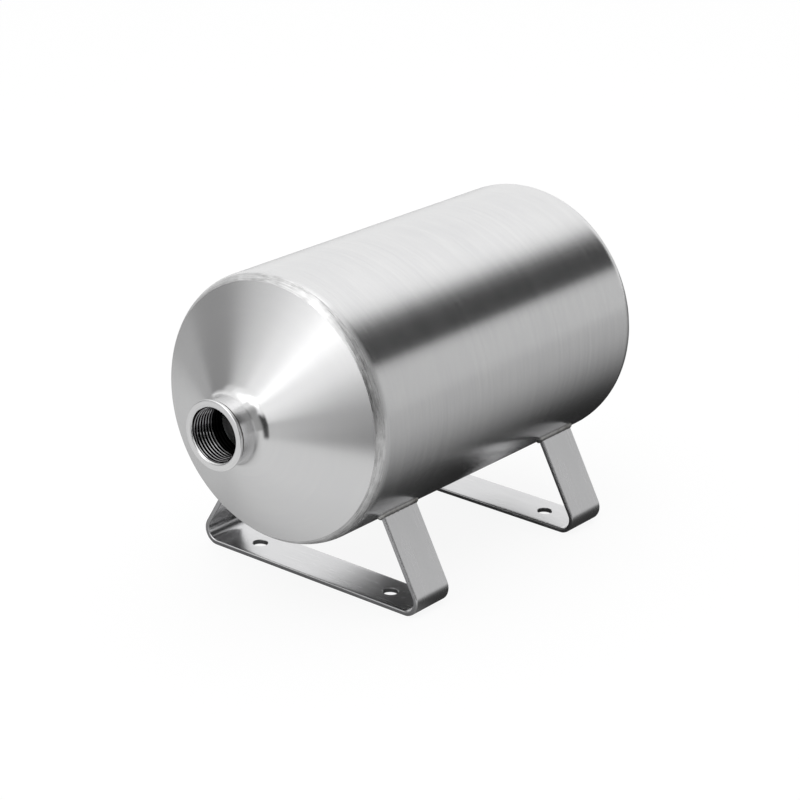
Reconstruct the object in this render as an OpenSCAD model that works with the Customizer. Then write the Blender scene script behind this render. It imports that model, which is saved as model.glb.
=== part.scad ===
// Compressed air tank: a rolled stainless shell, two coned heads with threaded
// ports, a drain socket underneath and two feet bent from flat bar.
// The tank lies along Y with its front port towards -Y and stands on z = 0.

/* [Shell] */
// Outside diameter of the tank
tank_d = 159; // [140:0.5:190]
// Wall thickness of the shell and of the cones
wall = 2; // [1.5:0.1:3]
// Straight length of the shell, without its rolled-in ends
shell_len = 227; // [210:1:600]
// Part of the knuckle's arc that each end of the shell is rolled in by, degrees
curl = 20; // [12:1:26]
// Direction of the lengthwise seam, from +X round over the top, degrees
seam_angle = 200; // [185:1:212]
// Width of the lengthwise seam weld
seam_w = 3; // [2:0.5:6]

/* [Heads] */
// Outside radius of the knuckle, from the shell to the crease
knuckle_r = 12.4; // [10:0.1:18]
// Arc of the knuckle from the shell to the crease, degrees
knuckle_arc = 47.7; // [40:0.1:60]
// Slope of the cone, from the plane across the tank, degrees
cone_slope = 28; // [15:0.5:36]
// Wall of the drawn collar, thinner than the cone it was drawn from
collar_wall = 1.8; // [1.2:0.1:2.5]
// Straight length of the collar, past its fillet
collar_len = 9.2; // [6:0.1:30]
// Outside radius of the fillet between the cone and the collar
root_r = 9; // [4:0.5:14]

/* [Ports] */
// Major diameter of each port's inside pipe thread, G1 as drawn
port_thread_d = 33.25; // [20:0.05:42]
// Depth of that thread
port_thread_depth = 1.48; // [0.8:0.01:1.6]
// Metal left round the root of the thread
sleeve_wall = 0.88; // [0.8:0.02:3]
// Length of the threaded sleeve behind its lip
sleeve_len = 22; // [14:1:34]
// How far the lip stands out past the collar
lip_over = 1; // [0.6:0.1:4]
// Thickness of the lip
lip_t = 1.8; // [1.4:0.1:5]
// Rounding of the lip's outer edge
lip_round = 0.8; // [0.3:0.1:1.2]
// Width of the seam weld between the lip and the collar
port_weld_w = 0.6; // [0.4:0.1:1.5]
// How far that weld stays below the collar's surface
port_weld_sink = 0.4; // [0.1:0.1:0.8]

/* [Drain] */
// Major diameter of the drain's inside pipe thread, G3/8 as drawn
drain_thread_d = 16.66; // [9:0.02:22]
// Depth of that thread
drain_thread_depth = 0.856; // [0.5:0.002:1.2]
// Metal left round the root of the drain's thread
drain_wall = 3.67; // [2:0.01:6]
// How far the drain socket stands out below the shell
drain_out = 6; // [4:0.5:10]
// How far the drain socket reaches inside the shell's wall
drain_in = 2; // [1:0.5:8]
// Leg of the fillet weld round the drain socket
drain_weld_leg = 2.5; // [1.5:0.1:3.5]

/* [Feet] */
// Height of the tank's axis above the ground
axis_height = 115; // [108:0.5:150]
// Width of each foot over its two bends
foot_width = 162; // [150:0.5:190]
// Width of the flat bar
strap_w = 30; // [22:0.5:50]
// Thickness of the flat bar
strap_t = 3; // [2:0.1:5]
// Rounding of the flat bar's long edges
strap_edge = 0.8; // [0.3:0.1:0.9]
// Inside radius of the bends
bend_r = 6.5; // [4:0.5:12]
// Angle of a leg above the ground, degrees
leg_angle = 60.55; // [54:0.05:72]
// Distance from each end of the straight shell in to the middle of its foot
foot_inset = 37; // [22:0.5:60]
// How far the pair of feet sits behind the middle of the shell
foot_shift = 3; // [0:0.5:6]
// Diameter of the fixing holes
hole_d = 9; // [5:0.1:14]
// Distance between the two holes of a foot
hole_pitch = 100; // [60:1:110]
// Leg of the fillet welds between a foot and the shell
foot_weld_leg = 2; // [1.5:0.1:5]

/* [Fits] */
// Clearance between round pieces that fit into each other
fit = 0.1; // [0.05:0.01:0.3]
// Gap between the end of a leg and the shell, bridged by the weld
root_gap = 0.3; // [0.1:0.05:0.8]

/* [Hidden] */
$fn = 96;
// Sides of a circle of the tank's own size, where small pieces are cut to it
tank_sides = 480;
// Steps round a rounded edge
edge_steps = 4;
// Steps round the fillet between a cone and its collar
fillet_steps = 12;

// Overrun of a cut past the surface it goes through
cut = 1;
tank_r = tank_d / 2;

// Knuckle and crease, as radius and height past the straight shell
knuckle_c = tank_r - knuckle_r;
curl_z = knuckle_r * sin(curl);
curl_in_r = knuckle_c + sqrt(pow(knuckle_r - wall, 2) - pow(curl_z, 2));
crease_r = knuckle_c + knuckle_r * cos(knuckle_arc);
crease_z = knuckle_r * sin(knuckle_arc);
edge_z = crease_z - wall / cos(cone_slope);

// Port, from the bore outwards
port_r = port_thread_d / 2 - port_thread_depth;
mouth_r = port_thread_d / 2 + fit;
sleeve_r = port_thread_d / 2 + sleeve_wall;
collar_in_r = sleeve_r + fit;
collar_r = collar_in_r + collar_wall;
lip_r = collar_r + lip_over;

// Heights past the straight shell, up the front head
collar_top = crease_z + (crease_r - collar_r) * tan(cone_slope) + fillet_run(root_r) + collar_len;
lip_back = collar_top + port_weld_w;
port_face = lip_back + lip_t;

// Drain socket
drain_bore_r = drain_thread_d / 2 - drain_thread_depth;
drain_r = drain_thread_d / 2 + drain_wall;
drain_mouth_r = drain_thread_d / 2 + fit;

// Distance between the middles of the two feet
foot_pitch = shell_len - 2 * foot_inset;

// Foot: centre of a bend, and the outside face of a leg as a line
bend_out_r = bend_r + strap_t;
bend_x = foot_width / 2 - bend_out_r;
bend_turn = 180 - leg_angle;
// Degrees that a bend is drawn past its lower end, before it is cut square there
bend_over = 10;
leg_out = [sin(leg_angle), cos(leg_angle)];
leg_up = [-cos(leg_angle), sin(leg_angle)];
leg_foot = [bend_x, bend_out_r] + bend_out_r * leg_out;
tank_axis = [0, axis_height];
leg_len = run_to_shell(strap_t / 2, tank_r);

// Length of a fillet of radius r from the corner to where it leaves each side
function fillet_run(r) = r * tan((90 - cone_slope) / 2);

// Length up a leg, at a depth below its outside face, to a circle round the tank's axis
function run_to_shell(depth, radius) =
  let (from = leg_foot - depth * leg_out - tank_axis)
  let (along = from * leg_up)
  -along - sqrt(along * along - from * from + radius * radius);

// Point on a leg where that length ends
function leg_point(depth, radius) =
  leg_foot - depth * leg_out + run_to_shell(depth, radius) * leg_up;

// Turns a piece drawn round z so that z runs forward along the tank's axis
module on_tank() {
  translate([0, 0, axis_height]) rotate([90, 0, 0]) children();
}

module at_front_end() {
  on_tank() translate([0, 0, shell_len / 2]) children();
}

module mirrored_to_rear() {
  mirror([0, 1, 0]) children();
}

// Points from the cone's edge at (edge, z), up the cone and round its fillet, to
// the top of the collar
function cone_to_collar(edge, z, neck_r, round_r) =
  let (
    run = fillet_run(round_r),
    corner_z = z + (edge - neck_r) * tan(cone_slope),
    centre = [neck_r + round_r, corner_z + run],
    turn = 90 - cone_slope
  )
  concat(
    [[edge, z]],
    [for (i = [fillet_steps:-1:0]) let (a = 180 + turn * i / fillet_steps)
      centre + round_r * [cos(a), sin(a)]],
    [[neck_r, collar_top]]
  );

function reversed(points) = [for (i = [len(points) - 1:-1:0]) points[i]];

module head_section() {
  polygon(concat(
    cone_to_collar(crease_r, crease_z, collar_r, root_r),
    reversed(cone_to_collar(crease_r, edge_z, collar_in_r, root_r + wall))
  ));
}

module curl_section() {
  intersection() {
    translate([knuckle_c, 0]) difference() {
      circle(knuckle_r);
      circle(knuckle_r - wall);
    }
    translate([knuckle_c, 0]) square([knuckle_r + cut, curl_z]);
  }
}

module shell_section() {
  translate([tank_r - wall, -shell_len / 2]) square([wall, shell_len]);
  for (end = [0, 1]) mirror([0, end]) translate([0, shell_len / 2]) curl_section();
}

module girth_weld_section() {
  intersection() {
    translate([knuckle_c, 0]) circle(knuckle_r);
    polygon([
      [curl_in_r, curl_z],
      [tank_r + cut, curl_z],
      [tank_r + cut, crease_z + cut],
      [crease_r, crease_z + cut],
      [crease_r, edge_z]
    ]);
  }
}

module seam_slot() {
  rotate([0, 0, seam_angle]) translate([knuckle_c, -seam_w / 2, -shell_len])
    cube([knuckle_r + cut, seam_w, 2 * shell_len]);
}

module rolled_shell() {
  rotate_extrude() shell_section();
}

module shell() {
  color("silver") difference() {
    on_tank() difference() {
      rolled_shell();
      seam_slot();
    }
    drain_hole();
  }
}

module shell_seam_weld() {
  color("darkgray") on_tank() intersection() {
    rolled_shell();
    seam_slot();
  }
}

module front_head() {
  color("gainsboro") at_front_end() rotate_extrude() head_section();
}

module rear_head() {
  mirrored_to_rear() front_head();
}

module front_girth_weld() {
  color("darkgray") at_front_end() rotate_extrude() girth_weld_section();
}

module rear_girth_weld() {
  mirrored_to_rear() front_girth_weld();
}

// Points round the lip's outer edge, a quarter circle
function lip_edge_points(steps) = [
  for (i = [0:steps])
    [lip_r - lip_round * (1 - cos(90 * i / steps)), port_face - lip_round * (1 - sin(90 * i / steps))]
];

module port_socket_section() {
  bottom = lip_back - sleeve_len;
  lead = sleeve_wall / 2;
  polygon(concat(
    [
      [port_r, bottom],
      [sleeve_r - lead, bottom],
      [sleeve_r, bottom + lead],
      [sleeve_r, lip_back],
      [lip_r, lip_back]
    ],
    lip_edge_points(edge_steps),
    [[mouth_r, port_face], [port_r, port_face - (mouth_r - port_r)]]
  ));
}

module front_port_socket() {
  color("lightgray") at_front_end() rotate_extrude() port_socket_section();
}

module rear_port_socket() {
  mirrored_to_rear() front_port_socket();
}

module front_port_weld() {
  color("dimgray") at_front_end() rotate_extrude()
    translate([collar_in_r, collar_top]) square([collar_wall - port_weld_sink, port_weld_w]);
}

module rear_port_weld() {
  mirrored_to_rear() front_port_weld();
}

// Places a piece drawn round z with z = 0 at the shell's lowest line
module under_shell() {
  translate([0, 0, axis_height - tank_r]) children();
}

module drain_hole() {
  under_shell() translate([0, 0, -cut]) cylinder(r = drain_r + fit, h = wall + 3 * cut);
}

module drain_socket() {
  height = drain_out + wall + drain_in;
  mouth = drain_mouth_r - drain_bore_r;
  color("lightgray") under_shell() translate([0, 0, -drain_out]) difference() {
    cylinder(r = drain_r, h = height);
    translate([0, 0, -cut]) cylinder(r = drain_bore_r, h = height + 2 * cut);
    translate([0, 0, -cut]) cylinder(r1 = drain_mouth_r + cut, r2 = drain_bore_r, h = mouth + cut);
  }
}

module drain_weld() {
  rise = wall;
  color("darkgray") difference() {
    under_shell() translate([0, 0, -drain_weld_leg])
      cylinder(r1 = drain_r, r2 = drain_r + drain_weld_leg + rise, h = drain_weld_leg + rise);
    under_shell() translate([0, 0, -drain_weld_leg - cut])
      cylinder(r = drain_r + fit, h = drain_weld_leg + rise + 2 * cut);
    on_tank() cylinder(r = tank_r + fit, h = shell_len, center = true, $fn = tank_sides);
  }
}

// Points round one corner of the flat bar's section, a quarter circle
function strap_corner(x, y, from) = [
  for (i = [0:edge_steps])
    [x, y] + strap_edge * [cos(from + 90 * i / edge_steps), sin(from + 90 * i / edge_steps)]
];

module strap_section() {
  x = strap_w / 2 - strap_edge;
  y = strap_t / 2 - strap_edge;
  polygon(concat(
    strap_corner(x, y, 0),
    strap_corner(-x, y, 90),
    strap_corner(-x, -y, 180),
    strap_corner(x, -y, 270)
  ));
}

// The bar as bent, before its legs are cut to the shell. Each bend is drawn a
// little long at its lower end and cut square where the flat of the foot begins.
module bent_bar() {
  mid_r = bend_out_r - strap_t / 2;
  translate([-bend_x, 0, strap_t / 2]) rotate([90, 0, 90])
    linear_extrude(2 * bend_x) strap_section();
  for (side = [0, 1]) mirror([side, 0, 0]) translate([bend_x, 0, bend_out_r]) rotate([90, 0, 0]) {
    difference() {
      rotate([0, 0, bend_turn - 90]) rotate_extrude(angle = -bend_turn - bend_over)
        translate([mid_r, 0]) rotate(90) strap_section();
      translate([-2 * bend_out_r, -2 * bend_out_r, -strap_w])
        cube([2 * bend_out_r, 4 * bend_out_r, 2 * strap_w]);
    }
    rotate([0, 0, bend_turn - 90]) translate([mid_r, 0, 0]) rotate([-90, 0, 0])
      linear_extrude(leg_len + strap_t) rotate(90) strap_section();
  }
}

module foot() {
  color("darkgray") difference() {
    bent_bar();
    for (side = [-1, 1])
      translate([side * hole_pitch / 2, 0, -cut]) cylinder(d = hole_d, h = strap_t + 2 * cut);
    on_tank()
      cylinder(r = tank_r + root_gap, h = strap_w + 4 * cut, center = true, $fn = tank_sides);
  }
}

// Fillet weld all round the end of the leg on the +X side
module foot_weld() {
  leg = foot_weld_leg;
  seat = leg_point(strap_t / 2, tank_r);
  tilt = atan2(seat[0], axis_height - seat[1]);
  color("dimgray") difference() {
    intersection() {
      rotate([90, 0, 0]) linear_extrude(strap_w + 4 * leg, center = true) polygon([
        leg_point(-leg, tank_r),
        leg_point(0, tank_r + leg),
        leg_point(strap_t, tank_r + leg),
        leg_point(strap_t + leg, tank_r),
        leg_point(strap_t + leg, tank_r - leg),
        leg_point(-leg, tank_r - leg)
      ]);
      translate([seat[0], 0, seat[1]]) rotate([0, -tilt, 0]) rotate([90, 0, 90])
        linear_extrude(8 * leg, center = true) polygon([
          [-strap_w / 2, -leg],
          [strap_w / 2, -leg],
          [strap_w / 2 + leg, 0],
          [strap_w / 2 + leg, 2 * leg],
          [-strap_w / 2 - leg, 2 * leg],
          [-strap_w / 2 - leg, 0]
        ]);
    }
    bent_bar();
    on_tank()
      cylinder(r = tank_r + fit, h = strap_w + 8 * leg, center = true, $fn = tank_sides);
  }
}

module at_foot(end) {
  translate([0, foot_shift + end * foot_pitch / 2, 0]) children();
}

module front_foot() {
  at_foot(-1) foot();
}

module rear_foot() {
  at_foot(1) foot();
}

module front_foot_weld_left() {
  at_foot(-1) mirror([1, 0, 0]) foot_weld();
}

module front_foot_weld_right() {
  at_foot(-1) foot_weld();
}

module rear_foot_weld_left() {
  at_foot(1) mirror([1, 0, 0]) foot_weld();
}

module rear_foot_weld_right() {
  at_foot(1) foot_weld();
}

shell();
shell_seam_weld();
front_head();
rear_head();
front_girth_weld();
rear_girth_weld();
front_port_socket();
rear_port_socket();
front_port_weld();
rear_port_weld();
drain_socket();
drain_weld();
front_foot();
rear_foot();
front_foot_weld_left();
front_foot_weld_right();
rear_foot_weld_left();
rear_foot_weld_right();
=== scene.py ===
import math

import bmesh
import bpy
import numpy as np
from mathutils import Matrix, Vector


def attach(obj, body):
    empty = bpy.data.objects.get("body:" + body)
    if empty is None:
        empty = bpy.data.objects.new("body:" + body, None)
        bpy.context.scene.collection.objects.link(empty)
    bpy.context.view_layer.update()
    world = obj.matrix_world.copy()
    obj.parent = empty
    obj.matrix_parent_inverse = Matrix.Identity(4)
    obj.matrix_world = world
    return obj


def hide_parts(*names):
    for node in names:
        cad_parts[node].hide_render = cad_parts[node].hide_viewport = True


mm = 0.001
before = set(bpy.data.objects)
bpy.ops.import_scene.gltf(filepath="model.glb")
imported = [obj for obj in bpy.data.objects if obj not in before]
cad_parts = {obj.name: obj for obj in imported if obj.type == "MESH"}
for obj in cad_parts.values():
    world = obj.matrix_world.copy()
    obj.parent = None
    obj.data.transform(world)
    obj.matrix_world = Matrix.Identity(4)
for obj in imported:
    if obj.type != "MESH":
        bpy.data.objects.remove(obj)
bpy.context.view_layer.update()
scene = bpy.context.scene
print("frame loaded:", len(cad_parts), "nodes")


# small tools

def toLinear(hexColour):
    # sRGB hex to the linear colour that the shaders work in
    srgb = np.array([int(hexColour[i:i + 2], 16) for i in (1, 3, 5)]) / 255
    linear = np.where(srgb <= 0.04045, srgb / 12.92, ((srgb + 0.055) / 1.055) ** 2.4)
    return (*linear.tolist(), 1.0)


def addNode(tree, kind, settings=None, links=None):
    # one node: a setting goes to the socket of that name or number, or else to the node itself
    node = tree.nodes.new(kind)
    for key, value in (settings or {}).items():
        if isinstance(key, int) or key in node.inputs:
            node.inputs[key].default_value = value
        else:
            setattr(node, key, value)
    for key, source in (links or {}).items():
        tree.links.new(source, node.inputs[key])
    return node


def newMaterial(name):
    material = bpy.data.materials.new(name)
    material.use_nodes = True
    material.node_tree.nodes.clear()
    return material, material.node_tree


def addObject(name, data):
    made = bpy.data.objects.new(name, data)
    scene.collection.objects.link(made)
    return made


def wave(where, seed, count=5):
    # a smooth uneven wave: a sum of sines of whole-number turns, so that it closes on a circle
    random = np.random.default_rng(seed)
    turns = random.integers(2, 40, count)
    phases = random.uniform(0, 6.283, count)
    sizes = random.uniform(0.4, 1, count)
    total = np.zeros_like(where)
    for turn, phase, size in zip(turns, phases, sizes):
        total = total + size * np.sin(turn * where + phase)
    return total / count


def grid(points, uv, wrapRows=False, wrapColumns=False, keep=None):
    # the quads between neighbouring points of a grid; a wrapped side meets its own start again
    rows, columns = points.shape[:2]
    i, j = np.meshgrid(
        np.arange(rows if wrapRows else rows - 1),
        np.arange(columns if wrapColumns else columns - 1), indexing="ij")
    if keep is not None:
        chosen = keep(i, j)
        i, j = i[chosen], j[chosen]
    corners = [(i, j), (i + 1, j), (i + 1, j + 1), (i, j + 1)]
    faces = np.stack([(a % rows) * columns + b % columns for a, b in corners], -1).reshape(-1, 4)
    cornerUv = np.stack([uv[a, b] for a, b in corners], -2).reshape(-1, 4, 2)
    return points.reshape(-1, 3), faces, cornerUv


def makePiece(name, grids, material, replaced, sharpAngle=35, second=None):
    # grids whose borders meet become one closed mesh with its faces outwards
    starts = np.cumsum([0] + [len(g[0]) for g in grids[:-1]])
    points = np.concatenate([g[0] for g in grids])
    faces = np.concatenate([g[1] + start for g, start in zip(grids, starts)])
    uv = np.concatenate([g[2] for g in grids])
    mesh = bpy.data.meshes.new(name)
    mesh.from_pydata(points.tolist(), [], faces.tolist())
    mesh.uv_layers.new(name="surface").data.foreach_set("uv", uv.astype(np.float32).ravel())
    work = bmesh.new()
    work.from_mesh(mesh)
    bmesh.ops.remove_doubles(work, verts=work.verts, dist=0.001 * mm)
    bmesh.ops.recalc_face_normals(work, faces=work.faces)
    if work.calc_volume(signed=True) < 0:
        bmesh.ops.reverse_faces(work, faces=work.faces)
    openEdges = sum(not e.is_manifold for e in work.edges)
    work.to_mesh(mesh)
    work.free()
    mesh.polygons.foreach_set("use_smooth", [True] * len(mesh.polygons))
    mesh.set_sharp_from_angle(angle=math.radians(sharpAngle))
    piece = addObject(name, mesh)
    mesh.materials.append(material)
    if second is not None:
        # faces whose middle is inside a limit, such as a bore's radius, take a second finish
        finish, inside = second
        mesh.materials.append(finish)
        middles = np.empty(len(mesh.polygons) * 3, np.float32)
        mesh.polygons.foreach_get("center", middles)
        chosen = inside(middles.reshape(-1, 3)).astype(np.int32)
        mesh.polygons.foreach_set("material_index", chosen)
    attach(piece, "root")
    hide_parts(replaced)
    print("made", name, len(mesh.polygons), "faces,", openEdges, "open edges")
    return piece


def arc(centre, radius, first, last, steps):
    # points on a circle, from one angle to another in degrees
    turn = np.radians(np.linspace(first, last, steps + 1))
    return np.stack([centre[0] + radius * np.cos(turn), centre[1] + radius * np.sin(turn)], -1)


def line(first, last, steps):
    return np.linspace(first, last, steps + 1)


def runLength(points, before):
    # how far along a run of points each one lies, counted from a point before the first
    return np.cumsum(np.linalg.norm(np.diff(points, axis=0, prepend=before), axis=1))


def uvOf(rows, columns):
    return np.stack(np.meshgrid(rows, columns, indexing="ij"), -1) * mm


def profileOf(*parts):
    # one run of (radius, height) points without the doubles where two parts meet
    joined = np.concatenate(parts)
    step = np.linalg.norm(np.diff(joined, axis=0, prepend=joined[-1:]), axis=1)
    return joined[step > 1e-6]


def turned(profile, turns, place, shape=None, wrap=True):
    # surface of revolution: radius * (cos, sin) of each turn, at the profile's height
    radius = np.repeat(profile[:, :1], len(turns), 1)
    height = np.repeat(profile[:, 1:], len(turns), 1)
    angle = np.repeat(turns[None], len(profile), 0)
    if shape is not None:
        radius, height = shape(radius, height, angle)
    points = place(radius * np.cos(angle), radius * np.sin(angle), height)
    along = runLength(profile, profile[:1])
    along = np.append(along, along[-1] + np.linalg.norm(profile[0] - profile[-1]))
    across = np.append(turns, turns[0] + 2 * np.pi) * profile[:, 0].mean()
    return grid(points, uvOf(along, across), wrapRows=True, wrapColumns=wrap)


# the tank's sizes, as the frame has them

tank = {
    "radius": 79.5, "wall": 2.0, "halfLength": 113.5, "axisHeight": 115.0,
    "knuckle": 12.4, "rolledIn": 20.0, "knuckleArc": 47.7,
    "seamAngle": 200.0, "seamWidth": 3.0, "turnSteps": 288,
    "endSteps": 6, "stepsToPatch": 60, "stepsFromPatch": 220,
}
axisAt = tank["axisHeight"] * mm
knuckleCentre = tank["radius"] - tank["knuckle"]
rolledHeight = tank["knuckle"] * math.sin(math.radians(tank["rolledIn"]))
rolledInnerAngle = math.degrees(math.asin(rolledHeight / (tank["knuckle"] - tank["wall"])))
creaseRadius = knuckleCentre + tank["knuckle"] * math.cos(math.radians(tank["knuckleArc"]))
creaseHeight = tank["knuckle"] * math.sin(math.radians(tank["knuckleArc"]))
fullTurn = np.linspace(0, 2 * np.pi, tank["turnSteps"], endpoint=False)
hair = 0.02  # mm that keep one surface clear of another, or a limit clear of its surface


def onTank(side):
    # height is counted from the end of the straight shell, out along the axis
    def place(a, b, height):
        return np.stack([a, side * (tank["halfLength"] + height), tank["axisHeight"] + b], -1) * mm
    return place


# stainless steel finishes

# what every finish is mixed from: fine lines, bands five times as broad, and soft clouds
grain = {
    "fineDetail": 3.0, "fineRoughness": 0.65, "broadDetail": 2.0, "broadTimes": 5, "broadShare": 0.6,
    "cloudDetail": 2.0, "cloudShare": 0.5, "shadeRange": (0.8, 1.3), "wearRange": (0.6, 1.0),
    "tintDetail": 4.0, "tintRange": (0.5, 0.75),
}


def steel(name, colours, roughness, anisotropy, streak, bump, around="Y", cloud=30.0, tint=None,
          polish=None, root=None, far=None):
    # Metal whose micro lines all run one way: reflections stretch across the lines and stay
    # sharp along them. streak is the length and width in mm of one line that still shows. It
    # follows the place on the piece for its length and the UV across the lines for its width.
    # bump is the depth of the lines and cloud the size of the soft patches, both in mm.
    # tint is (colour, size): heat colour in patches of that size in mm.
    # polish is (from, to, share): the share of the roughness left near the axis, by mm from it.
    # root is (from, to, colour): painted shade, the colour the metal darkens to with mm from the axis,
    # as in a thread's shaded roots. far is (from, to): where along Y, in mm from the middle, that
    # painted shade lies all over, deep in a bore.
    material, tree = newMaterial(name)

    def noise(at, scale, detail, harshness=0.5):
        made = addNode(tree, "ShaderNodeTexNoise",
                       {"Scale": scale, "Detail": detail, "Roughness": harshness}, {"Vector": at})
        return made.outputs["Fac"]

    def ranged(value, first, last, low=0.0, high=1.0):
        # low up to the first value, high from the last one on
        made = addNode(tree, "ShaderNodeMapRange",
                       {"From Min": first, "From Max": last, "To Min": low, "To Max": high},
                       {"Value": value})
        return made.outputs[0]

    coordinates = addNode(tree, "ShaderNodeTexCoord")
    onPiece = coordinates.outputs["Object"]
    place = addNode(tree, "ShaderNodeSeparateXYZ", None, {0: onPiece})
    surface = addNode(tree, "ShaderNodeSeparateXYZ", None, {0: coordinates.outputs["UV"]})
    x, y, z = place.outputs
    across, along = surface.outputs[0], surface.outputs[1]
    axes = {"Y": (x, across, z), "Z": (x, y, across), "bar": (along, across, y)}[around]
    long, wide = 1000 / streak[0], 1000 / streak[1]
    scales = {"Y": (long, wide, long), "Z": (long, long, wide), "bar": (long, wide, 0)}[around]
    broadScales = [c / grain["broadTimes"] for c in scales]
    lines = addNode(tree, "ShaderNodeCombineXYZ", None, dict(enumerate(axes)))
    fineAt = addNode(tree, "ShaderNodeMapping", {"Scale": scales}, {"Vector": lines.outputs[0]})
    broadAt = addNode(tree, "ShaderNodeMapping", {"Scale": broadScales}, {"Vector": lines.outputs[0]})
    fine = noise(fineAt.outputs[0], 1.0, grain["fineDetail"], grain["fineRoughness"])
    broad = noise(broadAt.outputs[0], 1.0, grain["broadDetail"])
    soft = noise(onPiece, 1000 / cloud, grain["cloudDetail"])
    lined = addNode(tree, "ShaderNodeMath", {"operation": "MULTIPLY_ADD", 1: grain["broadShare"]},
                    {0: broad, 2: fine})
    mottle = addNode(tree, "ShaderNodeMath", {"operation": "MULTIPLY_ADD", 1: grain["cloudShare"]},
                     {0: soft, 2: lined.outputs[0]})
    shade = addNode(tree, "ShaderNodeMix",
                    {"data_type": "RGBA", 6: toLinear(colours[0]), 7: toLinear(colours[1])},
                    {0: ranged(mottle.outputs[0], *grain["shadeRange"])})
    colour = shade.outputs[2]
    rough = ranged(lined.outputs[0], *grain["wearRange"], *roughness)
    relief = addNode(tree, "ShaderNodeBump", {"Strength": 1.0, "Distance": bump * mm},
                     {"Height": lined.outputs[0]})
    if tint is not None:
        patches = noise(onPiece, 1000 / tint[1], grain["tintDetail"])
        mixed = addNode(tree, "ShaderNodeMix", {"data_type": "RGBA", 7: toLinear(tint[0])},
                        {0: ranged(patches, *grain["tintRange"]), 6: colour})
        colour = mixed.outputs[2]
    if polish is not None or root is not None:
        # distance from the axis: the place without its part along the axis
        flat = (1, 0, 1) if around == "Y" else (1, 1, 0)
        off = (0, 0, -axisAt) if around == "Y" else (0, 0, 0)
        fromAxis = addNode(tree, "ShaderNodeMapping", {"Location": off, "Scale": flat},
                           {"Vector": onPiece})
        distance = addNode(tree, "ShaderNodeVectorMath", {"operation": "LENGTH"},
                           {0: fromAxis.outputs[0]})
        radius = distance.outputs["Value"]
    if polish is not None:
        share = ranged(radius, polish[0] * mm, polish[1] * mm, polish[2])
        polished = addNode(tree, "ShaderNodeMath", {"operation": "MULTIPLY"}, {0: rough, 1: share})
        rough = polished.outputs[0]
    # painted shade: darker towards the thread roots, and darker all over deep in the bore
    if root is not None:
        paintedShadeShare = ranged(radius, root[0] * mm, root[1] * mm)
        if far is not None:
            fromMiddle = addNode(tree, "ShaderNodeMath", {"operation": "ABSOLUTE"}, {0: y})
            deepShadeShare = ranged(fromMiddle.outputs[0], far[0] * mm, far[1] * mm)
            darker = addNode(tree, "ShaderNodeMath", {"operation": "MAXIMUM"},
                             {0: paintedShadeShare, 1: deepShadeShare})
            paintedShadeShare = darker.outputs[0]
        paintedShade = addNode(tree, "ShaderNodeMix", {"data_type": "RGBA", 7: toLinear(root[2])},
                           {0: paintedShadeShare, 6: colour})
        colour = paintedShade.outputs[2]
    direction = addNode(tree, "ShaderNodeTangent", {"direction_type": "UV_MAP", "uv_map": "surface"})
    shader = addNode(tree, "ShaderNodeBsdfPrincipled", {"Metallic": 1.0, "Anisotropic": anisotropy},
                     {"Base Color": colour, "Roughness": rough, "Normal": relief.outputs[0],
                      "Tangent": direction.outputs[0]})
    addNode(tree, "ShaderNodeOutputMaterial", None, {"Surface": shader.outputs[0]})
    return material


# belt-brushed tube: fine lines round the shell, drawn 0.5 mm apart so that they still show
shellSteel = steel(
    "tubeSteelBeltBrushed", colours=("#dfdfe0", "#e7e7e7"), roughness=(0.23, 0.26),
    anisotropy=0.85, streak=(24, 0.5), bump=0.0008)
# spun cone with a satin finish: finer lines round the axis, polished where the neck was drawn
headSteel = steel(
    "coneSteelSatinTurned", colours=("#e2e2e3", "#e5e5e5"), roughness=(0.265, 0.272),
    anisotropy=0.65, streak=(18, 0.45), bump=0.0001, polish=(24, 62, 0.7))
# corner weld ground flush with a disc: coarse streaks that run along the weld
weldGround = steel(
    "cornerWeldGround", colours=("#b2b2b2", "#efefef"), roughness=(0.24, 0.50),
    anisotropy=0.4, streak=(9, 0.7), bump=0.03, cloud=6.0)
# turned sleeves and drain boss: very fine tool marks round each bore
turnedLook = {
    "colours": ("#e2e2e3", "#eeeeee"), "roughness": (0.20, 0.25), "anisotropy": 0.5,
    "streak": (20, 0.35), "bump": 0.002,
}
socketSteel = steel("sleeveSteelTurned", **turnedLook)
drainSteel = steel("drainSteelTurned", around="Z", **turnedLook)
# cut threads: bright crests over roots darkened with painted shade, which in the ports is painted
# all over the last turns, where the bore lies in shade
threadLook = {
    "colours": ("#b0b0b2", "#bababb"), "roughness": (0.10, 0.16), "anisotropy": 0.0,
    "streak": (20, 0.6), "bump": 0.001,
}
threadSteel = steel("threadSteelCutPaintedShade", root=(15.2, 15.65, "#080808"), far=(157.5, 153.5), **threadLook)
drainThread = steel("drainThreadCutPaintedShade", around="Z", root=(7.53, 7.85, "#080808"), **threadLook)
# flat bar, brushed along its length before it was bent, in lines drawn 1 mm wide to show
barSteel = steel(
    "flatBarSteelBrushed", colours=("#d9d9da", "#e0e0e1"), roughness=(0.26, 0.275),
    anisotropy=0.1, streak=(22, 1.0), bump=0.0006, around="bar")
# sheared edges of the bar: dull and a little darker than its faces
edgeSteel = steel(
    "flatBarEdgeSheared", colours=("#b0b0b2", "#bcbcbe"), roughness=(0.30, 0.40),
    anisotropy=0.3, streak=(10, 0.6), bump=0.004, around="bar")
# weld metal as it came off the torch: duller, with a light straw to grey tint
weldMetal = steel(
    "weldBeadTinted", colours=("#bcbbb9", "#d0d0cf"), roughness=(0.28, 0.40),
    anisotropy=0.0, streak=(1.5, 1.5), bump=0.02, cloud=4.0, tint=("#93918d", 9.0))
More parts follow.
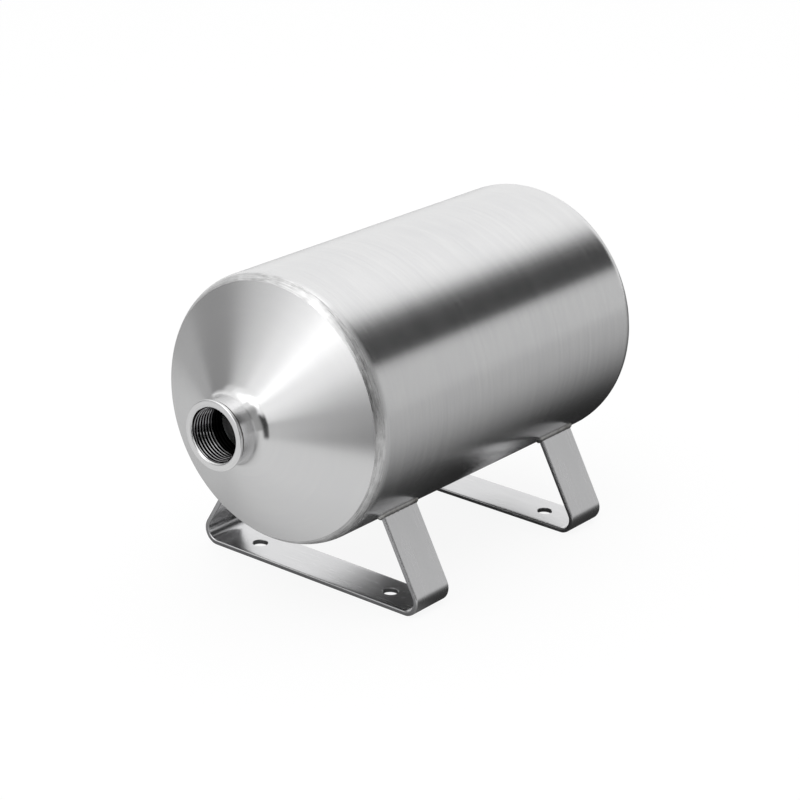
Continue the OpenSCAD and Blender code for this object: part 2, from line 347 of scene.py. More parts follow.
# the seam behind the lip keeps its dark weld scale; where the band runs out over the collar its dark
# is painted shade at the foot of the lip
weldScaleAndShade = steel(
    "weldSeamScaledAndShaded", colours=("#4c4a48", "#6a6764"), roughness=(0.35, 0.5),
    anisotropy=0.0, streak=(1.5, 1.5), bump=0.02, cloud=4.0)
print("finishes ready")


# rolled shell, with its slot for the seam and its hole for the drain

drain = {
    "majorRadius": 8.33, "threadDepth": 0.856, "pitch": 1.337, "wall": 3.67,
    "out": 6.0, "inside": 2.0, "fit": 0.1, "edgeRound": 0.5, "weldLeg": 2.5, "weldRipple": 1.7,
    "weldUneven": 0.08, "turnSteps": 160, "weldSteps": 360, "stepsPerPitch": 12,
    "patchSteps": 9, "patchHalf": 18.0, "patchRings": 5,
}
seamWeld = {"crown": 0.1, "ripple": 2.2, "rippleShare": 0.5, "steps": 8}


def shellProfile():
    # outer wall from the rear rolled-in end to the front one, and back along the inner wall
    centre = (knuckleCentre, tank["halfLength"])
    inner = tank["knuckle"] - tank["wall"]
    outerEnd = arc(centre, tank["knuckle"], tank["rolledIn"], 0, tank["endSteps"])
    innerEnd = arc(centre, inner, 0, rolledInnerAngle, tank["endSteps"])
    rows = np.linspace(-drain["patchHalf"], drain["patchHalf"], 2 * drain["patchSteps"] + 1)
    flipped = np.array([1, -1])
    outer = np.concatenate([
        outerEnd,
        np.stack([np.full_like(rows, tank["radius"]), rows[::-1]], -1),
        outerEnd[::-1] * flipped])
    inside = np.concatenate([
        innerEnd[::-1] * flipped,
        np.stack([np.full_like(rows, tank["radius"] - tank["wall"]), rows], -1),
        innerEnd])
    return outer, inside


def ringPatch(loop, centre, radius, rings):
    # from a circle out to a closed loop of border points, in straight steps
    direction = loop - centre
    direction = direction / np.linalg.norm(direction, axis=1, keepdims=True)
    circle = centre + radius * direction
    step = np.linspace(0, 1, rings + 1)[:, None, None]
    return circle + (loop - circle) * step


def borderLoop(xs, ys):
    # the points round a rectangle of grid lines, once round
    return np.concatenate([
        np.stack([xs[:-1], np.full(len(xs) - 1, ys[0])], -1),
        np.stack([np.full(len(ys) - 1, xs[-1]), ys[:-1]], -1),
        np.stack([xs[::-1][:-1], np.full(len(xs) - 1, ys[-1])], -1),
        np.stack([np.full(len(ys) - 1, xs[0]), ys[::-1][:-1]], -1)])


def buildShell():
    # each wall is its profile turned from one side of the seam round to the other
    outer, inside = shellProfile()
    slot = tank["seamWidth"] / 2 / tank["radius"]
    seam = math.radians(tank["seamAngle"])
    hole = drain["majorRadius"] + drain["wall"] + drain["fit"]
    steps = 2 * drain["patchSteps"]
    patchAngle = np.radians(-90) + np.linspace(-1, 1, steps + 1) * drain["patchHalf"] / tank["radius"]
    turns = np.concatenate([
        np.linspace(seam - 2 * np.pi + slot, patchAngle[0], tank["stepsToPatch"])[:-1], patchAngle,
        np.linspace(patchAngle[-1], seam - slot, tank["stepsFromPatch"])[1:]])
    patchFirst = tank["stepsToPatch"] - 1

    def wallAt(profile):
        # the wall without its patch, its points, and where along it the patch begins
        radius, height = profile[:, :1], profile[:, 1:]
        points = np.stack([
            radius * np.cos(turns), height + 0 * turns,
            tank["axisHeight"] + radius * np.sin(turns)], -1) * mm
        along = runLength(profile, profile[:1])
        uv = uvOf(along, turns * tank["radius"])
        rows = np.flatnonzero(np.abs(profile[:, 1]) <= drain["patchHalf"] + 1e-6)

        def outsidePatch(i, j):
            inRows = (i >= rows[0]) & (i < rows[-1])
            return ~(inRows & (j >= patchFirst) & (j < patchFirst + steps))

        return grid(points, uv, keep=outsidePatch), points, along[rows[0]] * mm, profile[rows[0], 1]

    outerGrid, outerPoints, *outerStart = wallAt(outer)
    innerGrid, innerPoints, *innerStart = wallAt(inside)
    grids = [outerGrid, innerGrid]
    # the rims at both ends, and the two sides of the slot
    for a, b in ((outerPoints[0], innerPoints[-1]), (outerPoints[-1], innerPoints[0])):
        rim = np.stack([a, b])
        grids.append(grid(rim, rim[..., :2]))
    match = innerPoints[::-1]
    for column in (0, -1):
        side = np.stack([outerPoints[:, column], match[:, column]])
        grids.append(grid(side, side[..., 1:]))
    # round the drain hole: a circle in plan, carried up to each wall
    rims = []
    walls = ((tank["radius"], outerStart), (tank["radius"] - tank["wall"], innerStart))
    for radius, (start, first) in walls:
        border = borderLoop(
            radius * np.cos(patchAngle), np.linspace(-1, 1, steps + 1) * drain["patchHalf"])
        flat = ringPatch(border, np.zeros(2), hole, drain["patchRings"])
        height = tank["axisHeight"] - np.sqrt(radius ** 2 - flat[..., 0] ** 2)
        points = np.concatenate([flat, height[..., None]], -1) * mm
        closed = np.concatenate([flat, flat[:, :1]], 1)
        patchUv = np.stack([start + np.abs(closed[..., 1] - first) * mm, closed[..., 0] * mm], -1)
        grids.append(grid(points, patchUv, wrapColumns=True))
        rims.append(points[0])
    # the two circles have their own angles, so the wall of the hole joins them point by point
    holeWall = np.stack(rims)
    holeUv = np.concatenate([holeWall, holeWall[:, :1]], 1)[..., 1:]
    grids.append(grid(holeWall, holeUv, wrapColumns=True))
    makePiece("shell_rolled", grids, shellSteel, "shell")


def buildSeamWeld():
    # the strip between the edges of the rolled tube, crowned by a tenth of a millimetre
    outer, inside = shellProfile()
    slot = tank["seamWidth"] / 2 / tank["radius"]
    turns = math.radians(tank["seamAngle"]) + np.linspace(-slot, slot, seamWeld["steps"] + 1)
    section = np.concatenate([outer, inside])

    def crown(radius, height, angle):
        rise = seamWeld["crown"] * np.cos((angle - angle.mean()) / slot * np.pi / 2)
        ripple = 1 + seamWeld["rippleShare"] * np.sin(height * 2 * np.pi / seamWeld["ripple"])
        return radius + rise * ripple * (radius > tank["radius"] - 0.1), height

    def place(a, b, height):
        return np.stack([a, height, tank["axisHeight"] + b], -1) * mm

    body = turned(section, turns, place, crown, wrap=False)
    grids = [body]
    points = body[0].reshape(len(section), len(turns), 3)
    half = len(outer)
    for column in (0, -1):
        side = np.stack([points[:half, column], points[half:, column][::-1]])
        grids.append(grid(side, side[..., 1:]))
    makePiece("seam_weld_ground", grids, weldGround, "shell_seam_weld")


buildShell()
buildSeamWeld()


# coned heads, their ground corner welds and threaded ports

head = {
    "slope": 28.0, "collarInner": 17.605, "collarOuter": 19.405, "collarLength": 9.2,
    "root": 9.0, "edgeRound": 0.3, "coneSteps": 24, "filletSteps": 18,
}
cornerWeld = {"waviness": 0.09, "waves": 9, "faceSteps": 14}
slope = math.radians(head["slope"])
rootRun = head["root"] * math.tan((math.pi / 2 - slope) / 2)
coneRise = (creaseRadius - head["collarOuter"]) * math.tan(slope)
collarTop = creaseHeight + coneRise + rootRun + head["collarLength"]


def coneAndCollar(edge, height, neck, root):
    # up the cone, round the root fillet, and straight along the collar
    run = root * math.tan((math.pi / 2 - slope) / 2)
    corner = height + (edge - neck) * math.tan(slope)
    start = np.array([neck + run * math.cos(slope), corner - run * math.sin(slope)])
    fillet = arc((neck + root, corner + run), root, 270 - head["slope"], 180, head["filletSteps"])
    return profileOf(line((edge, height), start, head["coneSteps"]), fillet)


def headProfile():
    outer = coneAndCollar(creaseRadius, creaseHeight, head["collarOuter"], head["root"])
    innerEdge = creaseHeight - tank["wall"] / math.cos(slope)
    inner = coneAndCollar(creaseRadius, innerEdge, head["collarInner"], head["root"] + tank["wall"])
    r = head["edgeRound"]
    rim = arc((head["collarOuter"] - r, collarTop - r), r, 0, 90, 4)
    return profileOf(outer, rim, np.array([[head["collarInner"], collarTop]]), inner[::-1])


def buildHead(side, name, replaced):
    makePiece(name, [turned(headProfile(), fullTurn, onTank(side))], headSteel, replaced)


def buildCornerWeld(side, name, replaced, seed):
    # the rest of the knuckle: an arc with the slight waviness that hand grinding leaves
    wallEdge = creaseHeight - tank["wall"] / math.cos(slope)
    inner = tank["knuckle"] - tank["wall"]
    innerEnd = knuckleCentre + inner * math.cos(math.radians(rolledInnerAngle))
    outer = arc((knuckleCentre, 0), tank["knuckle"], tank["rolledIn"], tank["knuckleArc"],
                cornerWeld["faceSteps"])
    section = np.concatenate([outer, [[creaseRadius, wallEdge], [innerEnd, rolledHeight]]])

    def uneven(radius, height, angle):
        onFace = np.zeros_like(radius)
        onFace[1:len(outer) - 1] = np.sin(np.linspace(0, np.pi, len(outer) - 2))[:, None]
        return radius + cornerWeld["waviness"] * wave(angle, seed, cornerWeld["waves"]) * onFace, height

    body = turned(section, fullTurn, onTank(side), uneven)
    makePiece(name, [body], weldGround, replaced)


port = {
    "majorRadius": 16.625, "threadDepth": 1.48, "pitch": 2.309, "sleeveOuter": 17.505,
    "sleeveLength": 22.0, "lead": 0.44, "mouth": 16.725, "mouthRound": 0.15, "boreFrom": 0.2,
    "lipOuter": 20.405, "lipThickness": 1.8, "lipRound": 0.8, "backRound": 0.2, "paintedShadeFrom": 0.9,
    "weldWidth": 0.6, "weldSink": 0.4, "scaleAndShadeWidth": 1.1, "scaleAndShadeWaviness": 0.2, "scaleAndShadeWaves": 9,
    "turnSteps": 240, "stepsPerPitch": 14,
}
lipBack = collarTop + port["weldWidth"]
portFace = lipBack + port["lipThickness"]


def threadCut(height, angle, pitch, sharp=1.3):
    # how deep the thread is cut, 0 to 1: a blunted V that climbs one pitch a turn
    phase = (height / pitch - angle / (2 * np.pi)) % 1
    ridge = 1 - np.abs(2 * phase - 1)
    return np.clip(ridge * sharp - (sharp - 1) / 2, 0, 1)


def threadInto(socket, first, innerEnd, chamferStart, outwards, hand):
    # carves the rows of a bore from the first one on: the thread fades in over one pitch from
    # the inner end, and a chamfer opens it to the mouth
    minor = socket["majorRadius"] - socket["threadDepth"]

    def shape(radius, height, angle):
        cut = threadCut(height, hand * angle, socket["pitch"])
        fade = np.clip(outwards * (height - innerEnd) / socket["pitch"], 0, 1)
        chamfer = minor + np.clip(outwards * (height - chamferStart), 0, None)
        carved = np.maximum(minor + socket["threadDepth"] * cut * fade, chamfer)
        radius[first:] = carved[first:]
        return radius, height

    return shape


def buildSocket(side, name, replaced):
    # sleeve and lip turned round the axis, with the thread's depth added to the bore's radius
    minor = port["majorRadius"] - port["threadDepth"]
    bottom = lipBack - port["sleeveLength"]
    sleeve, lip, mouth = port["sleeveOuter"], port["lipOuter"], port["mouth"]
    lead, r, back, edge = port["lead"], port["lipRound"], port["backRound"], port["mouthRound"]
    outside = profileOf(
        line((sleeve - lead, bottom), (sleeve, bottom + lead), 1),
        line((sleeve, bottom + lead), (sleeve, lipBack), 6),
        line((sleeve, lipBack), (lip - back, lipBack), 3),
        arc((lip - back, lipBack + back), back, -90, 0, 3),
        arc((lip - r, portFace - r), r, 0, 90, 8),
        line((lip - r, portFace), (mouth + edge, portFace), 5),
        arc((mouth + edge, portFace - edge), edge, 90, 180, 3))
    stations = int((portFace - bottom) / port["pitch"] * port["stepsPerPitch"])
    bore = line((minor, portFace - port["boreFrom"]), (minor, bottom), stations)
    section = np.concatenate([outside, bore])
    thread = threadInto(port, len(outside), bottom, portFace - (mouth - minor), 1, -side)
    turns = np.linspace(0, 2 * np.pi, port["turnSteps"], endpoint=False)
    limit = (port["majorRadius"] + hair) * mm
    # bore faces deeper than this take the thread finish and its painted shade
    deep = (tank["halfLength"] + portFace - port["paintedShadeFrom"]) * mm

    def inBore(middles):
        fromAxis = np.hypot(middles[:, 0], middles[:, 2] - tank["axisHeight"] * mm)
        return (fromAxis < limit) & (np.abs(middles[:, 1]) < deep)

    body = turned(section, turns, onTank(side), thread)
    makePiece(name, [body], socketSteel, replaced, 50, (threadSteel, inBore))


def buildPortWeld(side, name, replaced):
    # the seam behind the lip, sunk where it meets the lip, with its dark scale run out over the collar
    # as painted shade at the foot of the lip
    inner, outer, low = head["collarInner"], head["collarOuter"], collarTop - port["scaleAndShadeWidth"]
    sunk = outer - port["weldSink"]
    section = np.array([
        [inner, collarTop], [outer - 0.2, low - 0.1], [outer + hair, low],
        [outer + 0.03, collarTop - 0.1], [outer - 0.1, collarTop + 0.05], [sunk, collarTop + 0.2],
        [sunk, lipBack - 0.15], [outer - 0.2, lipBack], [inner, lipBack]])

    def uneven(radius, height, angle):
        # the painted shade over the collar ends in a wavy edge
        onScaleAndShade = height < collarTop - 0.5
        return radius, height + port["scaleAndShadeWaviness"] * wave(angle, 5, port["scaleAndShadeWaves"]) * onScaleAndShade

    body = turned(section, fullTurn, onTank(side), uneven)
    makePiece(name, [body], weldScaleAndShade, replaced, 60)


for side, end, seed in ((-1, "front", 3), (1, "rear", 8)):
    buildHead(side, end + "_cone", end + "_head")
    buildCornerWeld(side, end + "_corner_weld", end + "_girth_weld", seed)
    buildSocket(side, end + "_threaded_sleeve", end + "_port_socket")
    buildPortWeld(side, end + "_lip_weld_and_shade", end + "_port_weld")


# drain socket under the shell

def buildDrain():
    # a boss turned round an upright axis, threaded as the ports are
    minor = drain["majorRadius"] - drain["threadDepth"]
    outer = drain["majorRadius"] + drain["wall"]
    low = tank["axisHeight"] - tank["radius"] - drain["out"]
    high = low + drain["out"] + tank["wall"] + drain["inside"]
    mouth = drain["majorRadius"] + drain["fit"]
    r = drain["edgeRound"]
    outside = profileOf(
        line((minor, high), (outer, high), 3),
        line((outer, high), (outer, low + r), 6),
        arc((outer - r, low + r), r, 0, -90, 5),
        line((outer - r, low), (mouth, low), 3))
    stations = int((high - low) / drain["pitch"] * drain["stepsPerPitch"])
    bore = line((minor, low + hair), (minor, high - hair), stations)
    section = np.concatenate([outside, bore])
    thread = threadInto(drain, len(outside), high, low + mouth - minor, -1, 1)

    def place(a, b, height):
        return np.stack([a, b, height], -1) * mm

    def inBore(middles):
        return np.hypot(middles[:, 0], middles[:, 1]) < (drain["majorRadius"] + hair) * mm

    turns = np.linspace(0, 2 * np.pi, drain["turnSteps"], endpoint=False)
    body = turned(section, turns, place, thread)
    makePiece("drain_threaded_boss", [body], drainSteel, "drain_socket", 50,
              (drainThread, inBore))


bead = {"steps": 10, "swell": 0.42, "rippleSwell": 0.16, "uvWidth": 6}


def beadSection(onPiece, onShell, root, outward, along, ripple):
    # across a bead: straight between its two edges, plus a bulge that swells with each ripple
    across = np.linspace(0, 1, bead["steps"] + 1)[:, None, None]
    swell = (bead["swell"] + bead["rippleSwell"] * np.cos(along * 2 * np.pi / ripple))[None, :, None]
    surface = onPiece * (1 - across) + onShell * across + outward * swell * np.sin(np.pi * across)
    points = np.concatenate([surface, root[None]])
    length = np.append(along, along[-1] * (1 + 1 / len(along)))
    width = np.linspace(0, bead["uvWidth"], len(points) + 1)
    return grid(points * mm, uvOf(width, length), wrapRows=True, wrapColumns=True)


def buildDrainWeld():
    # a fillet between the boss and the shell: each plan circle is carried up to the shell
    turns = np.linspace(0, 2 * np.pi, drain["weldSteps"], endpoint=False)
    ring = np.stack([np.cos(turns), np.sin(turns)], -1)
    radius = drain["majorRadius"] + drain["wall"] + hair
    leg = drain["weldLeg"] * (1 + drain["weldUneven"] * wave(turns, 11))

    def underShell(r):
        plan = ring * np.reshape(r, (-1, 1)) if np.ndim(r) else ring * r
        height = tank["axisHeight"] - np.sqrt(tank["radius"] ** 2 - plan[:, 0] ** 2)
        return np.concatenate([plan, height[:, None]], -1)

    root = underShell(radius)
    onBoss = root - np.stack([0 * leg, 0 * leg, leg], -1)
    onShell = underShell(radius + leg)
    outward = np.concatenate([ring, -np.ones((len(turns), 1))], -1) / math.sqrt(2)
    body = beadSection(onBoss, onShell, root, outward, turns * radius, drain["weldRipple"])
    makePiece("drain_weld_bead", [body], weldMetal, "drain_weld", 60)


buildDrain()
buildDrainWeld()


# feet bent from flat bar

foot = {
    "width": 30.0, "thickness": 3.0, "edge": 0.8, "overall": 162.0, "bend": 6.5,
    "legAngle": 60.55, "inset": 37.0, "shift": 3.0, "hole": 9.0, "holePitch": 100.0,
    "rootGap": 0.3, "holeEdge": 0.3, "shearedFrom": 0.05, "weldUneven": 0.12,
    "patchHalf": 12.0, "patchSteps": 12, "patchRings": 5, "faceSteps": 14, "bendSteps": 24,
    "legSteps": 14, "weldLeg": 2.0, "weldRipple": 1.6, "weldSteps": 300, "weldFaceSteps": 40,
}
bendOuter = foot["bend"] + foot["thickness"]
bendX = foot["overall"] / 2 - bendOuter
legAngle = math.radians(foot["legAngle"])
legOut = np.array([math.sin(legAngle), math.cos(legAngle)])
legUp = np.array([-math.cos(legAngle), math.sin(legAngle)])
legFoot = np.array([bendX, bendOuter]) + bendOuter * legOut


def legRun(depth, radius):
    # length up the leg, at a depth below its outside face, to a circle round the tank's axis
    start = legFoot - depth[:, None] * legOut - np.array([0, tank["axisHeight"]])
    along = start @ legUp
    return -along - np.sqrt(along ** 2 - (start ** 2).sum(1) + radius ** 2)


def legPoint(depth, radius):
    return legFoot - depth[:, None] * legOut + legRun(depth, radius)[:, None] * legUp


def barSection(faceSteps):
    # (depth, across) round the bar: two wide faces, two edges and four rounded corners
    r, half, thick = foot["edge"], foot["width"] / 2, foot["thickness"]
    wide = np.linspace(-half + r, half - r, faceSteps + 1)
    edge = np.linspace(r, thick - r, 3)

    def corner(depth, across, first):
        return arc((depth, across), r, first, first + 90, 5)[1:-1][::-1]

    return np.concatenate([
        np.stack([np.zeros_like(wide), wide], -1), corner(r, half - r, 180),
        np.stack([edge, np.full(3, half)], -1), corner(thick - r, half - r, 0),
        np.stack([np.full_like(wide, thick), wide[::-1]], -1), corner(thick - r, -half + r, 270),
        np.stack([edge[::-1], np.full(3, -half)], -1), corner(r, -half + r, 180)[::-1]])


def buildFoot(middle, name, replaced):
    # the bar's section carried along the flat, round the bend and up the leg, then mirrored
    section = barSection(foot["faceSteps"])
    depth, across = section[:, 0], section[:, 1]
    half, hx = foot["patchHalf"], foot["holePitch"] / 2
    flatX = np.concatenate([
        np.linspace(0, hx - half, 5)[:-1],
        np.linspace(hx - half, hx + half, foot["patchSteps"] + 1),
        np.linspace(hx + half, bendX, 4)[1:]])
    flat = np.stack([
        np.repeat(flatX[:, None], len(depth), 1), np.repeat(depth[None], len(flatX), 0)], -1)
    turn = np.linspace(0, math.pi - legAngle, foot["bendSteps"] + 1)[1:, None]
    reach = bendOuter - depth
    bend = np.stack([bendX + reach * np.sin(turn), bendOuter - reach * np.cos(turn)], -1)
    run = legRun(depth, tank["radius"] + foot["rootGap"])
    legStart = legFoot - depth[:, None] * legOut
    part = np.linspace(0, 1, foot["legSteps"] + 1)[1:, None, None]
    leg = legStart + part * run[:, None] * legUp
    right = np.concatenate([flat, bend, leg])
    path = np.concatenate([right[::-1] * np.array([-1, 1]), right[1:]])
    y = np.repeat(across[None], len(path), 0) + middle
    points = np.stack([path[..., 0], y, path[..., 1]], -1) * mm
    along = runLength(path[:, 0], path[:1, 0])
    sides = np.linalg.norm(np.diff(np.concatenate([section, section[:1]]), axis=0), axis=1)
    outline = np.append(0, np.cumsum(sides))
    uv = uvOf(along, outline)[..., ::-1]
    centre = len(right) - 1
    firstHole = np.flatnonzero(np.isclose(flatX, hx - half))[0]
    faceSteps, around = foot["faceSteps"], len(section)
    upper = np.flatnonzero(np.isclose(depth, foot["thickness"]))

    def outsideHoles(i, j):
        wide = (j < faceSteps) | ((j >= upper[0]) & (j < upper[0] + faceSteps))
        right = (i >= centre + firstHole) & (i < centre + firstHole + foot["patchSteps"])
        left = (i < centre - firstHole) & (i >= centre - firstHole - foot["patchSteps"])
        return ~(wide & (right | left))

    grids = [grid(points, uv, wrapColumns=True, keep=outsideHoles)]
    # the coped ends of the legs: the outline's two long sides joined across the thickness
    shiftBy = (around - 2 * (faceSteps + 1)) // 4
    order = (np.arange(around) - shiftBy) % around
    for row in (0, -1):
        ring = points[row][order]
        end = np.stack([ring[:around // 2], ring[::-1][:around // 2]])
        grids.append(grid(end, end[..., :2]))
    # the faces round each hole, and the hole's own wall with its broken edges
    ys = np.linspace(-1, 1, faceSteps + 1) * (foot["width"] / 2 - foot["edge"])
    broken, r, thick = foot["holeEdge"], foot["hole"] / 2, foot["thickness"]
    heights = np.array([0, broken, thick / 2, thick - broken, thick])
    radii = np.array([r + broken, r, r, r, r + broken])
    for holeX in (-hx, hx):
        loop = borderLoop(holeX + np.linspace(-half, half, foot["patchSteps"] + 1), ys)
        patch = ringPatch(loop, np.array([holeX, 0]), r + broken, foot["patchRings"])
        closed = np.concatenate([patch, patch[:, :1]], 1)
        for height in (0, thick):
            face = np.concatenate([patch + [0, middle], np.full((*patch.shape[:2], 1), height)], -1)
            grids.append(grid(face * mm, closed[..., ::-1] * mm, wrapColumns=True))
        outward = (patch[0] - [holeX, 0]) / (r + broken)
        wallHeights = np.repeat(heights, len(outward)).reshape(5, -1, 1)
        wall = np.concatenate([
            [holeX, middle] + radii[:, None, None] * outward, wallHeights], -1) * mm
        wallAround = np.arange(len(outward) + 1) * 0.5
        grids.append(grid(wall, uvOf(heights, wallAround), wrapColumns=True))

    def sheared(middles):
        return np.abs(middles[:, 1] - middle * mm) > (foot["width"] / 2 - foot["shearedFrom"]) * mm

    makePiece(name, grids, barSteel, replaced, 35, (edgeSteel, sheared))


def buildFootWeld(middle, mirrored, name, replaced, seed):
    # all round the end of the leg: from the bar's face down to the shell
    fine = barSection(foot["weldFaceSteps"])
    around = np.append(fine, fine[:1], 0)
    length = np.append(0, np.cumsum(np.linalg.norm(np.diff(around, axis=0), axis=1)))
    even = np.linspace(0, length[-1], foot["weldSteps"], endpoint=False)
    depth, across = np.interp(even, length, around[:, 0]), np.interp(even, length, around[:, 1])
    half, r = foot["width"] / 2, foot["edge"]
    core = np.stack([
        np.clip(depth, r, foot["thickness"] - r), np.clip(across, -half + r, half - r)], -1)
    normal = np.stack([depth, across], -1) - core
    normal /= np.linalg.norm(normal, axis=1, keepdims=True)
    size = foot["weldLeg"] * (1 + foot["weldUneven"] * wave(even / length[-1] * 2 * np.pi, seed))
    seat = tank["radius"] + hair
    rootAt = legPoint(depth, seat)
    faceOut = -normal[:, :1] * legOut
    root = np.stack([rootAt[:, 0], across, rootAt[:, 1]], -1)
    down = np.stack([-legUp[0] * size, 0 * size, -legUp[1] * size], -1)
    skin = np.stack([faceOut[:, 0], normal[:, 1], faceOut[:, 1]], -1)
    onLeg = root + down + 0.03 * skin
    toePlan = np.stack([depth, across], -1) + normal * size[:, None]
    toeAt = legPoint(toePlan[:, 0], seat)
    onShell = np.stack([toeAt[:, 0], toePlan[:, 1], toeAt[:, 1]], -1)
    outward = skin - np.array([legUp[0], 0, legUp[1]])
    outward /= np.linalg.norm(outward, axis=1, keepdims=True)
    flip = np.array([-1 if mirrored else 1, 1, 1])
    shift = np.array([0, middle, 0])
    edges = [points * flip + shift for points in (onLeg, onShell, root)]
    body = beadSection(*edges, outward * flip, even, foot["weldRipple"])
    makePiece(name, [body], weldMetal, replaced, 60)


fromMiddle = tank["halfLength"] - foot["inset"]
for sign, end in ((-1, "front"), (1, "rear")):
    middle = foot["shift"] + sign * fromMiddle
    buildFoot(middle, end + "_bent_bar", end + "_foot")
    for mirrored, hand in ((True, "left"), (False, "right")):
        seed = 20 + sign + 5 * mirrored
        buildFootWeld(middle, mirrored, end + "_bead_" + hand, end + "_foot_weld_" + hand, seed)


# studio: pale floor, softboxes, and cards that shape the reflections, in metres

studio = {
    "floorColour": "#fafafa", "floorSize": 14.0, "floorWhite": 0.9, "openLight": 0.6,
    "overheadAt": (-0.3, 0.3, 1.7), "overheadTo": (-0.3, 0.3, 0), "overheadSize": (2.4, 3.0),
    "overheadPower": 26.0, "keyAt": (0.15, -1.10, 1.20), "keyTo": (0, -0.13, 0.13),
    "keySize": (0.80, 2.0), "keyPower": 3.5,
}


def whiteWhere(tree):
    # 1 where the camera, a reflection or a refraction looks, and 0 for the light on the object
    path = addNode(tree, "ShaderNodeLightPath")
    first = addNode(tree, "ShaderNodeMath", {"operation": "ADD"},
                    {0: path.outputs["Is Camera Ray"], 1: path.outputs["Is Glossy Ray"]})
    second = addNode(tree, "ShaderNodeMath", {"operation": "ADD", "use_clamp": True},
                     {0: first.outputs[0], 1: path.outputs["Is Transmission Ray"]})
    return second.outputs[0]


def buildWorld():
    world = bpy.data.worlds.new("studioAir")
    world.use_nodes = True
    tree = world.node_tree
    tree.nodes.clear()
    white = toLinear("#ffffff")
    light = addNode(tree, "ShaderNodeBackground", {"Color": white, "Strength": studio["openLight"]})
    seen = addNode(tree, "ShaderNodeBackground", {"Color": white, "Strength": 1.0})
    mixed = addNode(tree, "ShaderNodeMixShader", None,
                    {0: whiteWhere(tree), 1: light.outputs[0], 2: seen.outputs[0]})
    addNode(tree, "ShaderNodeOutputWorld", None, {"Surface": mixed.outputs[0]})
    scene.world = world


def buildFloor():
    # a big square of pale paper, nearly white to the camera but still shaded by the object
    mesh = bpy.data.meshes.new("floor")
    side = np.array([[-1, -1, 0], [1, -1, 0], [1, 1, 0], [-1, 1, 0]]) * studio["floorSize"] / 2
    mesh.from_pydata(side.tolist(), [], [(0, 1, 2, 3)])
    floor = addObject("floor", mesh)
    material, tree = newMaterial("paperFloor")
    paper = addNode(tree, "ShaderNodeBsdfDiffuse", {"Color": toLinear(studio["floorColour"])})
    white = addNode(tree, "ShaderNodeEmission", {"Color": toLinear("#ffffff"), "Strength": 1.0})
    part = addNode(tree, "ShaderNodeMath", {"operation": "MULTIPLY", 1: studio["floorWhite"]},
                   {0: whiteWhere(tree)})
    mixed = addNode(tree, "ShaderNodeMixShader", None,
                    {0: part.outputs[0], 1: paper.outputs[0], 2: white.outputs[0]})
    addNode(tree, "ShaderNodeOutputMaterial", None, {"Surface": mixed.outputs[0]})
    mesh.materials.append(material)


def addSoftbox(name, location, target, size, power):
    lamp = bpy.data.lights.new(name, "AREA")
    lamp.shape = "RECTANGLE"
    lamp.size, lamp.size_y = size
    lamp.energy = power
    box = addObject(name, lamp)
    box.location = location
    away = np.array(location) - np.array(target)
    box.rotation_euler = Vector(away.tolist()).to_track_quat("Z", "Y").to_euler()
    return box


def buildCard(name, x, y, z, grey):
    # a card that only reflections see; its grey is a function of the place
    x, y, z = np.broadcast_arrays(x, y, z)
    points = np.stack([x, y, z], -1)
    at, faces = grid(points, points[..., :2])[:2]
    mesh = bpy.data.meshes.new(name)
    mesh.from_pydata(at.tolist(), [], faces.tolist())
    shade = mesh.attributes.new("grey", "FLOAT", "POINT")
    shade.data.foreach_set("value", np.ravel(grey(x, y, z)).astype(np.float32))
    card = addObject(name, mesh)
    material, tree = newMaterial(name + "Paint")
    level = addNode(tree, "ShaderNodeAttribute", {"attribute_name": "grey"})
    glow = addNode(tree, "ShaderNodeEmission", {"Color": toLinear("#ffffff")},
                   {"Strength": level.outputs["Fac"]})
    addNode(tree, "ShaderNodeOutputMaterial", None, {"Surface": glow.outputs[0]})
    mesh.materials.append(material)
    card.visible_camera = False
    card.visible_diffuse = False
    card.visible_shadow = False


buildWorld()
buildFloor()
overhead = addSoftbox("overheadSoftbox", studio["overheadAt"], studio["overheadTo"],
                      studio["overheadSize"], studio["overheadPower"])
overhead.visible_glossy = False
addSoftbox("keySoftbox", studio["keyAt"], studio["keyTo"], studio["keySize"], studio["keyPower"])

# the cards in metres and degrees: (first, last, how many points) along each side
cards = {
    "sideRadius": 1.5, "sideTurn": (-4.3, 83, 90), "sideReach": (-1.2, 5.0, 63),
    "leftAt": -1.2, "leftReach": (-2.5, 0.8, 24), "leftRise": (0.005, 1.4, 40),
    "floorHeight": 0.0004, "floorHalf": (1.48, 2.2), "floorMiddle": -0.05, "floorPoints": 161,
    "floorGather": 4, "frontRadius": 1.35, "frontMiddle": -0.16, "frontTurn": (-88, -15, 147),
    "frontRise": (0.005, 1.1, 50),
    "topHeight": 1.9, "topWidth": (-1.7, 1.7, 35), "topReach": (-1.9, 1.2, 32),
}


def smooth(value, first, last):
    # 0 before the first value and 1 after the last one, with a soft step between them
    part = np.clip((value - first) / (last - first), 0, 1)
    return part * part * (3 - 2 * part)


def sideGrey(x, y, z):
    # beside and behind the tank: dark between two angles above it, grey below them
    angle = np.degrees(np.arctan2(z - axisAt, x))
    level = np.interp(angle, [-6, 8, 24, 30, 36, 45, 56, 62, 69, 76, 84],
                      [0.6, 0.62, 0.63, 0.5, 0.03, 0.0, 0.0, 0.06, 0.35, 0.82, 0.97])
    near = np.interp(angle, [-6, 20, 50, 60, 70], [0.38, 0.36, 0.3, 0.45, 0.9])
    return near + (level - near) * smooth(y, 0.3, 0.8)


def leftGrey(x, y, z):
    # a grey wall low on the -X side, lighter at its top and towards the rear
    level = np.interp(z, [0, 0.1, 0.5, 0.8, 1.4], [0.38, 0.28, 0.31, 0.68, 0.85])
    return 1 + (level - 1) * np.clip((0.4 - y) / 0.6, 0, 1)


